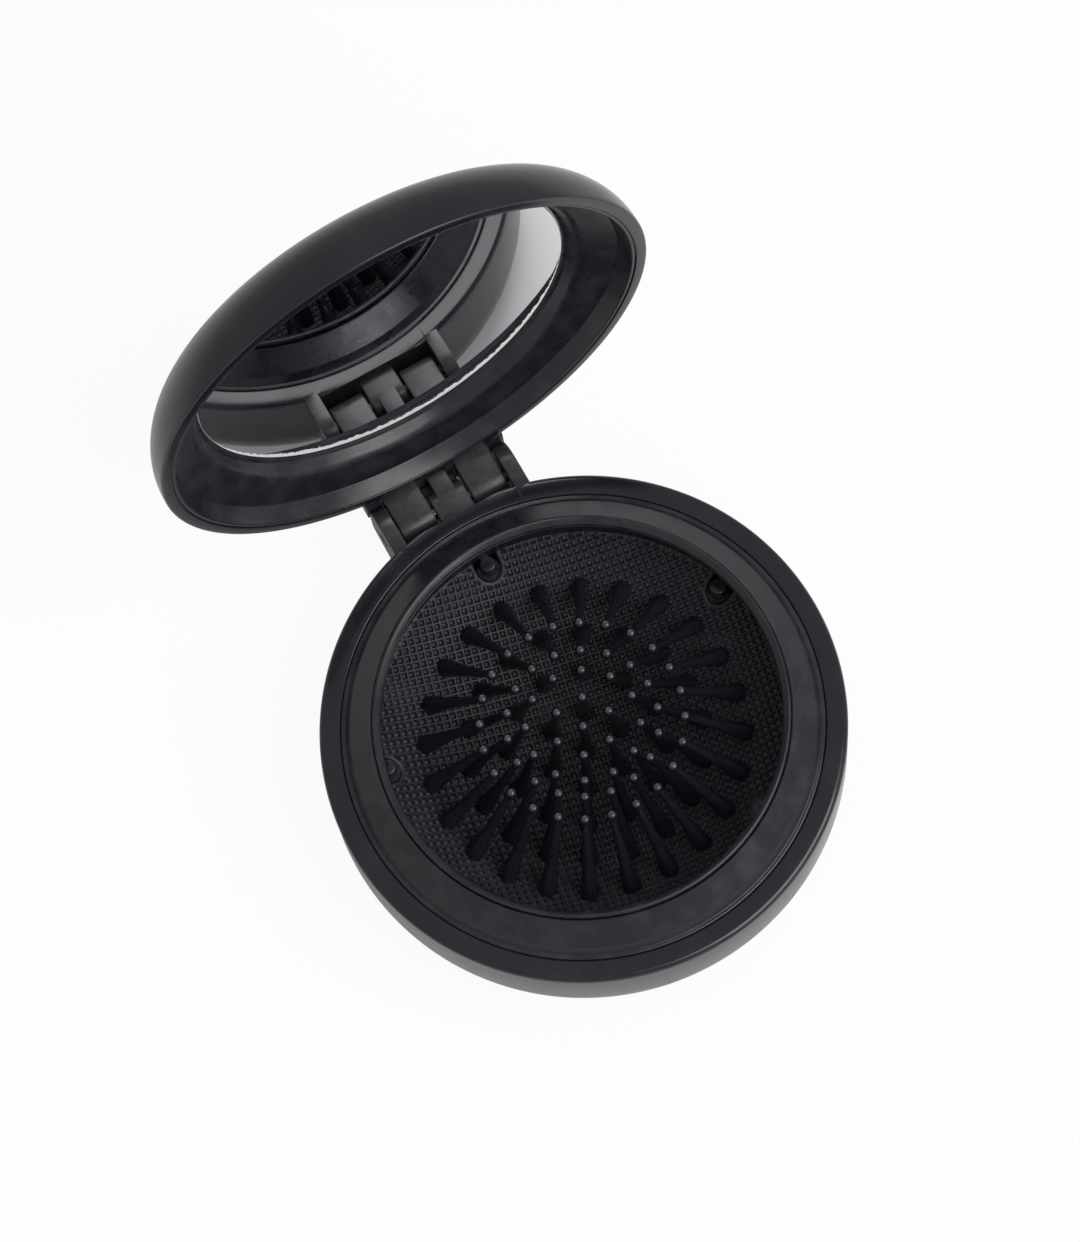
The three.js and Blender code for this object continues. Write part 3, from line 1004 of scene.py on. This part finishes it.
ground = [(mirror_radius - mirror_arris, 0), (mirror_radius, mirror_arris)]
mirror = on_mirror_disc("mirror", [(0, 0), *ground, (mirror_radius, glass), (0, glass)])
tape_back = glass + tape
tape_outline = [(0, glass), (tape_radius, glass), (tape_radius, tape_back), (0, tape_back)]
backing = on_mirror_disc("mirror_tape", tape_outline)
print("mirror:", round(2 * mirror_radius, 1), "mm across")

# %% [markdown]
# ## Shader arithmetic
#
# The finishes are made of nodes, and most of them are sums: a roughness plus a little noise, or
# one mask times another. Wiring Math nodes by hand hides the sum, so a small class stands for a
# socket, and Python's own plus, minus and times add the nodes. Everything else goes through one
# method that makes any node from its type, its settings and its inputs.

# %% A socket that can be calculated with
class Wire:
    """The value of a socket. Arithmetic on it adds Math nodes to the same material."""

    def __init__(self, finish, socket):
        self.finish = finish
        self.socket = socket

    def maths(self, operation, first, second):
        return self.finish.node("ShaderNodeMath", {"operation": operation}, {0: first, 1: second})

    def __add__(self, other):
        return self.maths("ADD", self, other)

    def __radd__(self, other):
        return self.maths("ADD", other, self)

    def __sub__(self, other):
        return self.maths("SUBTRACT", self, other)

    def __rsub__(self, other):
        return self.maths("SUBTRACT", other, self)

    def __mul__(self, other):
        return self.maths("MULTIPLY", self, other)

    def __rmul__(self, other):
        return self.maths("MULTIPLY", other, self)


# %% A finish
class Finish:
    """A material: node() adds a node of any kind, and shader() fills the Principled shader."""

    def __init__(self, name):
        self.name = name
        self.material = bpy.data.materials.new(name)
        self.material.use_nodes = True
        self.tree = self.material.node_tree
        self.principled = self.tree.nodes["Principled BSDF"]
        self.end = self.tree.nodes["Material Output"].inputs["Surface"]

    def feed(self, socket, value):
        if isinstance(value, Wire):
            self.tree.links.new(value.socket, socket)
        else:
            socket.default_value = value

    def node(self, kind, settings=None, inputs=None, output=0):
        made = self.tree.nodes.new(kind)
        for key, value in (settings or {}).items():
            setattr(made, key, value)
        for key, value in (inputs or {}).items():
            self.feed(made.inputs[key], value)
        return Wire(self, made.outputs[output])

    def shader(self, **sockets):
        for name, value in sockets.items():
            self.feed(self.principled.inputs[name.replace("_", " ").title()], value)

    def where(self):
        return self.node("ShaderNodeTexCoord", output="Object")

    def vector(self, operation, *operands, output=0):
        inputs = dict(enumerate(operands))
        return self.node("ShaderNodeVectorMath", {"operation": operation}, inputs, output)

    def mix(self, factor, first, second):
        """A colour between two colours."""
        inputs = {"Factor": factor, 6: first, 7: second}
        return self.node("ShaderNodeMix", {"data_type": "RGBA"}, inputs, output=2)

    def step(self, value, low, high, below=0.0):
        """A soft step up to one, as the value goes from low to high."""
        levels = {"From Min": low, "From Max": high, "To Min": below}
        settings = {"interpolation_type": "SMOOTHSTEP"}
        return self.node("ShaderNodeMapRange", settings, {"Value": value, **levels})

    def noise(self, size, detail=3.0, where=None, roughness=0.5):
        """Noise from nought to one, with lumps of about this size in millimetres."""
        inputs = {"Scale": 1 / (size * MM), "Detail": detail, "Roughness": roughness}
        inputs["Vector"] = where or self.where()
        return self.node("ShaderNodeTexNoise", None, inputs)

    def patches(self, size, low, high, detail=3.0):
        """A mask of soft-edged patches: the noise, stepped between two of its levels."""
        return self.step(self.noise(size, detail), low, high)

    def bump(self, height, depth):
        """A bump of this depth in millimetres where the height goes from nought to one."""
        inputs = {"Height": height, "Strength": 1.0, "Distance": depth * MM}
        return self.node("ShaderNodeBump", None, inputs)


def dress(finish, *pieces):
    """Gives each piece the finish."""
    for piece in pieces:
        piece.data.materials.clear()
        piece.data.materials.append(finish.material)
    print(finish.name, "on", len(pieces), "pieces")


# %% [markdown]
# ## Gloss black plastic
#
# The two shells are polished black plastic. Black gloss has hardly any colour of its own: what is
# seen is the reflection of the surroundings, so the finish is mostly about the roughness. It is
# low, with faint cloudy handling marks and a few fine scratches that blur the reflection.
# Scratches are thin stretched noise, cut to its highest values. Round the hinge the polish is
# rubbed off by use: a mask by the distance from the hinge line makes it duller and a little grey.

# %% Scratches
def scratches(finish, length, width, turn):
    """A mask of fine scratches of about this length and width in millimetres."""
    scale = (1 / (length * MM), 1 / (width * MM), 1 / (length * MM))
    inputs = {"Vector": finish.where(), "Rotation": turn, "Scale": scale}
    laid = finish.node("ShaderNodeMapping", None, inputs)
    inputs = {"Vector": laid, "Scale": 1.0, "Detail": 1.0}
    return finish.step(finish.node("ShaderNodeTexNoise", None, inputs), low=0.66, high=0.72)


# %% Wear round the hinge
def near_hinge(finish):
    """A mask that is strongest on the hinge, blotchy, and fades out round it."""
    offset = finish.vector("SUBTRACT", finish.where(), hinge * MM)
    across = finish.vector("MULTIPLY", offset, (0, 1, 1))
    distance = finish.vector("LENGTH", across, output="Value")
    near = finish.step(distance, low=1.4 * ear_radius * MM, high=ear_radius * MM)
    return near * finish.step(finish.noise(0.9, 4), low=0.2, high=0.7, below=0.5)


# %% The gloss finish
polished = 0.16
clean_gloss = (0.01, 0.0095, 0.015, 1)
handled_gloss = (0.014, 0.0135, 0.019, 1)
worn_gloss = (0.04, 0.039, 0.044, 1)


def gloss_black():
    finish = Finish("gloss_black")
    marks = finish.patches(size=9, low=0.4, high=0.7)
    lines = scratches(finish, length=14, width=0.12, turn=(0.2, 0.3, 0.5)) * marks
    worn = near_hinge(finish)
    unworn = finish.mix(marks, clean_gloss, handled_gloss)
    finish.shader(
        base_color=finish.mix(worn, unworn, worn_gloss),
        roughness=polished + 0.07 * marks + 0.12 * lines + 0.2 * worn,
        normal=finish.bump(finish.noise(2.5, 2) + 0.15 * lines, depth=0.012),
    )
    return finish


dress(gloss_black(), base, lid, plate_disc)

# %% [markdown]
# ## Satin black plastic
#
# Collar, trim ring, liner and the hidden clamp ring are the same plastic out of a mould that
# wasn't polished. The grain is finer than the eye can see, so it makes the reflection wider: the
# roughness is higher. Under the grain the surface is slightly uneven, and handling leaves smears,
# so the reflection is never quite even along a ring. Rubbing leaves faint shiny streaks.

# %% The satin finish
satin_roughness = 0.25
clean_satin = (0.011, 0.0105, 0.016, 1)
smeared_satin = (0.02, 0.0192, 0.025, 1)


def satin_black():
    finish = Finish("satin_black")
    smears = finish.patches(size=4, low=0.38, high=0.68, detail=5)
    streaks = scratches(finish, length=9, width=0.25, turn=(0.1, 0.2, 0.9))
    uneven = finish.noise(6, 2) + 0.08 * finish.noise(0.25, 2)
    finish.shader(
        base_color=finish.mix(smears, clean_satin, smeared_satin),
        roughness=satin_roughness + 0.12 * smears - 0.08 * streaks,
        normal=finish.bump(uneven, depth=0.05),
    )
    return finish


dress(satin_black(), collar, trim, liner, frame["nodes"]["pad_clamp_ring"])

# %% [markdown]
# ## Rubber, nylon and steel
#
# The pad is dull black rubber, a little dusty in patches. The pins are nylon with a soft shine,
# which shows as a small dot on each ball. Their tips are painted lighter than their stems by a
# mask of how far the surface faces up: a painted highlight from above. Hinge pin and screws are
# drawn steel, whose fine lines run along the wire.

# %% The rubber
clean_rubber = (0.014, 0.0135, 0.02, 1)
dusty_rubber = (0.023, 0.022, 0.03, 1)


def pad_rubber():
    finish = Finish("pad_rubber")
    lighter_share = finish.patches(size=5, low=0.45, high=0.75, detail=4)
    finish.shader(
        base_color=finish.mix(lighter_share, clean_rubber, dusty_rubber),
        roughness=0.5 + 0.1 * lighter_share,
        normal=finish.bump(finish.noise(0.2, 2), depth=0.006),
    )
    return finish


dress(pad_rubber(), pad)

# %% The nylon
clean_nylon = (0.011, 0.0105, 0.016, 1)
painted_highlight_nylon = (0.075, 0.075, 0.083, 1)


def pin_nylon():
    finish = Finish("pin_nylon")
    wear = finish.patches(size=1.5, low=0.4, high=0.7)
    facing = finish.node("ShaderNodeTexCoord", output="Normal")
    up = finish.node("ShaderNodeSeparateXYZ", None, {0: facing}, output="Z")
    # Where the surface faces up the colour is painted lighter: a painted highlight on the tips.
    lighter_share = finish.step(up, low=0.72, high=0.97) * (0.6 + 0.4 * wear)
    finish.shader(
        base_color=finish.mix(lighter_share, clean_nylon, painted_highlight_nylon),
        roughness=0.14 + 0.08 * wear,
    )
    return finish


dress(pin_nylon(), *pins)

# %% The steel
dark_steel = (0.5, 0.51, 0.53, 1)
light_steel = (0.62, 0.63, 0.65, 1)


def drawn_steel():
    finish = Finish("steel")
    inputs = {"Vector": finish.where(), "Scale": (0.1, 1, 1)}
    lines = finish.noise(0.15, 3, finish.node("ShaderNodeMapping", None, inputs))
    finish.shader(
        base_color=finish.mix(lines, dark_steel, light_steel),
        metallic=1.0,
        roughness=0.25 + 0.15 * lines,
    )
    return finish


screws = [frame["nodes"][f"clamp_screw_{i + 1}"] for i in range(screw_count)]
dress(drawn_steel(), hinge_pin, *screws)

# %% [markdown]
# ## The mirror
#
# A mirror is a metal with next to no roughness. Its ground edge is neither: the glass is
# rough and chipped there, and scatters light in a bright broken line. The same finish does both,
# by how far a point is from the middle of the disc. The disc stands in the open lid, so the
# distance is taken from its own middle, in space. Towards the bottom of the open lid the line is
# painted wider: a painted highlight on the chipped edge.

# %% The mirror's finish
silver_colour = (0.86, 0.87, 0.89, 1)
ground_colour = (0.97, 0.97, 0.97, 1)
edge_width = 0.05
bottom_highlight_width = 2.0


def mirror_silver():
    finish = Finish("mirror_glass")
    offset = finish.vector("SUBTRACT", finish.where(), on_mirror.translation * MM)
    radius = finish.vector("LENGTH", offset, output="Value")
    height = finish.node("ShaderNodeSeparateXYZ", None, {0: offset}, output="Z")
    # Towards the bottom of the disc the bright line is painted wider: a painted highlight.
    low = finish.step(height, low=0, high=-0.95 * mirror_radius * MM)
    chips = finish.noise(0.9, 4, roughness=0.7)
    ragged = radius + (edge_width + low * (0.1 + bottom_highlight_width * chips)) * MM
    inner = (mirror_radius - edge_width) * MM
    edge = finish.step(ragged, inner, inner + 2 * edge_width * MM)
    finish.shader(
        base_color=finish.mix(edge, silver_colour, ground_colour),
        metallic=1.0 - edge,
        roughness=0.015 + 0.5 * edge,
        normal=finish.bump(chips * edge, depth=0.2),
    )
    return finish


dress(mirror_silver(), mirror)

# %% The foam tape behind it
dark_foam = (0.72, 0.72, 0.7, 1)
light_foam = (0.82, 0.82, 0.8, 1)


def foam_tape():
    finish = Finish("foam_tape")
    pores = finish.noise(0.4, 4)
    finish.shader(
        base_color=finish.mix(pores, dark_foam, light_foam),
        roughness=0.9,
        normal=finish.bump(pores, depth=0.05),
    )
    return finish


dress(foam_tape(), backing)

# %% [markdown]
# ## Floor and light
#
# The photograph is a product shot on white. A flat white floor is enough, because the camera
# looks down on it. To the camera the floor is mostly a light of its own, so that it stays white
# to the edge of the picture, and it still takes the soft shadow of the case.
#
# Black gloss is lit by what it mirrors. So the world is an even pale room, which gives every side
# its reflection, and one large soft lamp stands high in front and to the right. It draws the
# broad highlight on the flank and the small ones on the pins.

# %% The floor
floor_colour = (0.9, 0.9, 0.9, 1)
floor_drop = 0.02
floor_reach = 60 * case_radius
white_to_camera = 0.93
white_in_gloss = 0.1


def white_floor():
    finish = Finish("floor_white")
    direct = finish.node("ShaderNodeLightPath", output="Is Camera Ray")
    mirrored = finish.node("ShaderNodeLightPath", output="Is Glossy Ray")
    finish.shader(base_color=floor_colour, roughness=0.9)
    glow = finish.node("ShaderNodeEmission", None, {"Color": (1, 1, 1, 1), "Strength": 1.0})
    lit = Wire(finish, finish.principled.outputs[0])
    share = white_to_camera * direct + white_in_gloss * mirrored
    finish.feed(finish.end, finish.node("ShaderNodeMixShader", None, {0: share, 1: lit, 2: glow}))
    reach = floor_reach * MM
    corners = [(-reach, -reach, 0), (reach, -reach, 0), (reach, reach, 0), (-reach, reach, 0)]
    mesh = bpy.data.meshes.new("floor")
    mesh.from_pydata(corners, [], [(0, 1, 2, 3)])
    mesh.materials.append(finish.material)
    floor = placed("floor", mesh)
    floor.location.z = -floor_drop * MM


white_floor()
print("floor:", round(2 * floor_reach * MM, 1), "m wide")

# %% The world
room_strength = 0.47


def pale_room():
    world = bpy.data.worlds.new("pale_room")
    world.use_nodes = True
    background = world.node_tree.nodes["Background"]
    background.inputs["Color"].default_value = (1, 1, 1, 1)
    background.inputs["Strength"].default_value = room_strength
    bpy.context.scene.world = world


pale_room()

# %% The lamp
key_place = Vector((270, -360, 560))
key_size = 520
key_watts = 3.3


def soft_lamp():
    """A square lamp that looks at the object."""
    light = bpy.data.lights.new("key", "AREA")
    light.shape = "SQUARE"
    light.size = key_size * MM
    light.energy = key_watts
    lamp = placed("key", light)
    lamp.location = key_place * MM
    lamp.rotation_euler = (-key_place).to_track_quat("-Z", "Y").to_euler()


soft_lamp()
print("lamp:", key_size, "mm across,", round(key_place.length), "mm away")

# %% [markdown]
# ## The camera
#
# The camera stands high in front of the case and a little to the left, and is tipped over to one
# side. A long lens keeps the circles nearly true. The angles were found by laying the circles of
# rim, collar and lid over the photograph until they fitted.

# %% The camera
PICTURE_WIDTH = 1080
azimuth = math.radians(-18.81)
elevation = math.radians(71.63)
roll = math.radians(-10.70)
camera_distance = 582.5
focal_pixels = 4080.9
sensor = 36.0
nearest_seen = 10
farthest_seen = 100_000
target = Vector((2.12, 16.29, base_height))


def camera():
    data = bpy.data.cameras.new("camera")
    data.sensor_fit = "HORIZONTAL"
    data.sensor_width = sensor
    data.lens = focal_pixels * sensor / PICTURE_WIDTH
    data.clip_start = nearest_seen * MM
    data.clip_end = farthest_seen * MM
    back = Vector((
        math.sin(azimuth) * math.cos(elevation),
        -math.cos(azimuth) * math.cos(elevation),
        math.sin(elevation),
    ))
    level = Vector((math.cos(azimuth), math.sin(azimuth), 0))
    up = back.cross(level)
    across = math.cos(roll) * level + math.sin(roll) * up
    upright = math.cos(roll) * up - math.sin(roll) * level
    turn = Matrix((across, upright, back)).transposed().to_4x4()
    seen = placed("camera", data)
    seen.matrix_world = Matrix.Translation((target + camera_distance * back) * MM) @ turn
    bpy.context.scene.camera = seen
    return seen


view = camera()
bpy.context.scene.view_settings.view_transform = "Standard"
print("camera at", [round(x / MM) for x in view.location], "mm, lens", round(view.data.lens, 1))

# %% Corners of a box as plain lists
def corners(box):
    return [[float(x) for x in corner] for corner in box]
